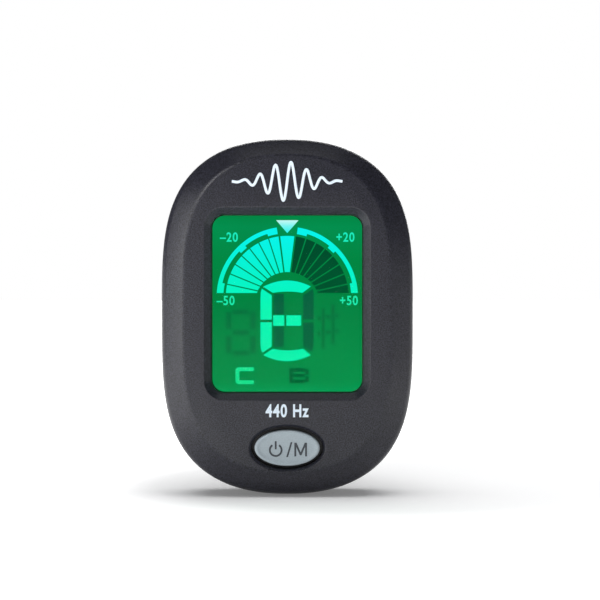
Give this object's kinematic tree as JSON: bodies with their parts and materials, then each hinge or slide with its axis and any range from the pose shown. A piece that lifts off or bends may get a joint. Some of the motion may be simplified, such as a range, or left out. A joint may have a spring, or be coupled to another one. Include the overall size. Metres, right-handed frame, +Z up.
{
  "type": "clip-on instrument tuner",
  "caption": "Clip-on instrument tuner: oval display head with a push button, on a ball joint carried by a sprung clip with rubber jaw pads.",
  "frame": {"origin": "middle of the front jaw pad's gripping face", "axes": "+X to the display's right as seen from behind the head, +Y from the display towards the clip, +Z up along the display"},
  "size_m": [0.0382, 0.0403, 0.054],
  "materials": {
    "casing_plastic": "fine matt texture",
    "key_grey": "satin",
    "black_plastic": "smooth, slippery",
    "clear_window": "clear, polished",
    "display_glass": "polished",
    "polarising_film": "satin",
    "light_guide": "clear acrylic",
    "white_plastic": "satin",
    "led": "gloss",
    "board": "solder mask",
    "chip_black": "satin",
    "capacitor": "ceramic",
    "tin": "bright tin",
    "steel": "plated",
    "brass": "rolled",
    "ceramic": "silvered ceramic",
    "elastomer": "soft",
    "rubber": "moulded",
    "red_insulation": "insulation",
    "black_insulation": "insulation"
  },
  "bodies": {
    "clip_arm": {"clip_front_arm": "casing_plastic", "front_jaw_pad": "rubber", "ball_stud": "casing_plastic", "stud_screw": "steel", "hinge_pin": "steel", "torsion_spring": "steel"},
    "clip_lever": {"clip_lever": "casing_plastic", "rear_jaw_pad": "rubber"},
    "ball_cup": {"ball_cup": "black_plastic"},
    "head": {"front_shell": "casing_plastic", "rear_shell": "casing_plastic", "case_screw_1": "steel", "case_screw_2": "steel", "case_screw_3": "steel", "case_screw_4": "steel", "window_lens": "clear_window", "coin_cell": "steel", "front_polariser": "polarising_film", "lcd_front_glass": "display_glass", "lcd_rear_glass": "display_glass", "rear_polariser": "polarising_film", "light_guide": "light_guide", "reflector_sheet": "white_plastic", "backlight_led_1": "led", "backlight_led_2": "led", "lcd_frame": "white_plastic", "zebra_connector": "elastomer", "circuit_board": "board", "tuner_chip": "chip_black", "crystal": "tin", "capacitor_1": "capacitor", "capacitor_2": "capacitor", "capacitor_3": "capacitor", "capacitor_4": "capacitor", "piezo_disc": "brass", "piezo_ceramic": "ceramic", "piezo_wire_red": "red_insulation", "piezo_wire_black": "black_insulation", "mode_switch": "chip_black", "negative_contact": "brass", "positive_contact": "brass", "cup_retainer": "steel", "retainer_screw_1": "steel", "retainer_screw_2": "steel"},
    "battery_door": {"battery_door": "casing_plastic"},
    "power_button": {"power_button": "key_grey", "button_retainer": "black_plastic"},
    "switch_plunger": {"switch_plunger": "white_plastic"}
  },
  "joints": [
    {"name": "clip_open", "type": "hinge", "parent": "clip_arm", "child": "clip_lever", "pos_m": [0, 0.0023, 0.022], "axis": [1, 0, 0], "range_deg": [0, 34], "stiffness_Nm_per_rad": 0.14, "springref_deg": -45.84, "deforming": ["torsion_spring"]},
    {"name": "head_tilt", "type": "hinge", "parent": "clip_arm", "child": "ball_cup", "pos_m": [0, -0.0147, 0.018], "axis": [1, 0, 0], "range_deg": [-20, 20]},
    {"name": "head_swivel", "type": "hinge", "parent": "ball_cup", "child": "head", "pos_m": [0, -0.0147, 0.018], "axis": [0, 1, 0], "continuous": true},
    {"name": "battery_door_slide", "type": "slide", "parent": "head", "child": "battery_door", "axis": [0, 0, -1], "range_m": [0, 0.026]},
    {"name": "button_press", "type": "slide", "parent": "head", "child": "power_button", "axis": [0, 1, 0], "range_m": [0, 0.0004], "stiffness_N_per_m": 800, "springref_m": -0.0005},
    {"name": "plunger_travel", "type": "slide", "parent": "head", "child": "switch_plunger", "axis": [0, 1, 0], "range_m": [0, 0.0004]}
  ],
  "couplings": [
    {"joint": "plunger_travel", "follows": "button_press", "ratio": 1}
  ]
}
